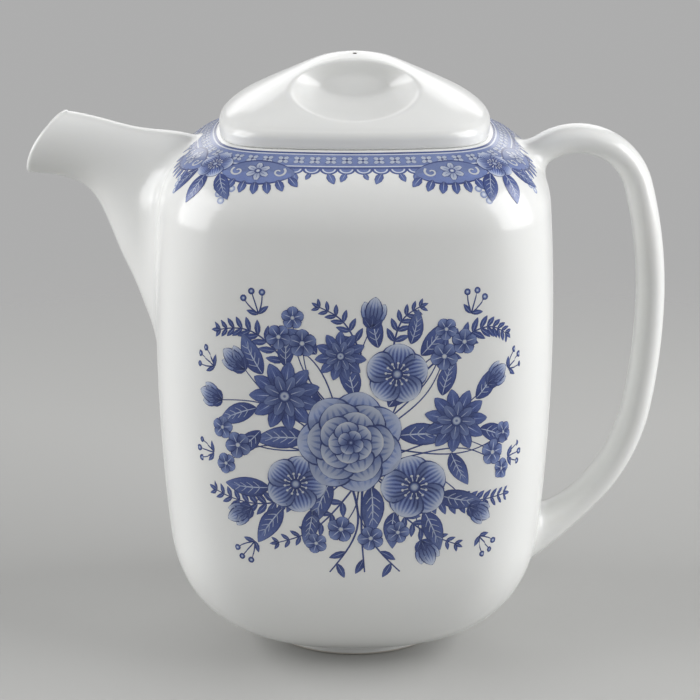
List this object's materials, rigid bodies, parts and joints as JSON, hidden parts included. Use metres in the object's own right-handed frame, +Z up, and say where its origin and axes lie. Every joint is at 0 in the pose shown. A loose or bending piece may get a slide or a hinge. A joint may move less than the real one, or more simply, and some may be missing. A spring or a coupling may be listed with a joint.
{
  "type": "porcelain coffee pot",
  "caption": "Square-bodied glazed porcelain pot with a beaked spout, a loop handle, a pierced strainer and a scooped lift-off lid, decorated with blue flowers.",
  "frame": {"origin": "centre of the foot ring, on the plane that the pot stands on", "axes": "+Z up, +X from the spout towards the handle, +Y from the front face towards the back face"},
  "size_m": [0.2017, 0.1258, 0.1897],
  "materials": {
    "glazed_porcelain": "clear gloss glaze over white porcelain",
    "bare_foot": "unglazed, ground smooth"
  },
  "bodies": {
    "pot": {"pot_body": "glazed_porcelain", "strainer": "glazed_porcelain", "foot_ring": "bare_foot", "spout": "glazed_porcelain", "handle": "glazed_porcelain"},
    "lid": {"lid_cover": "glazed_porcelain", "lid_flange": "glazed_porcelain"}
  },
  "joints": [
    {"name": "lid_lift", "type": "slide", "parent": "pot", "child": "lid", "axis": [0, 0, 1], "range_m": [0, 0.08]}
  ]
}
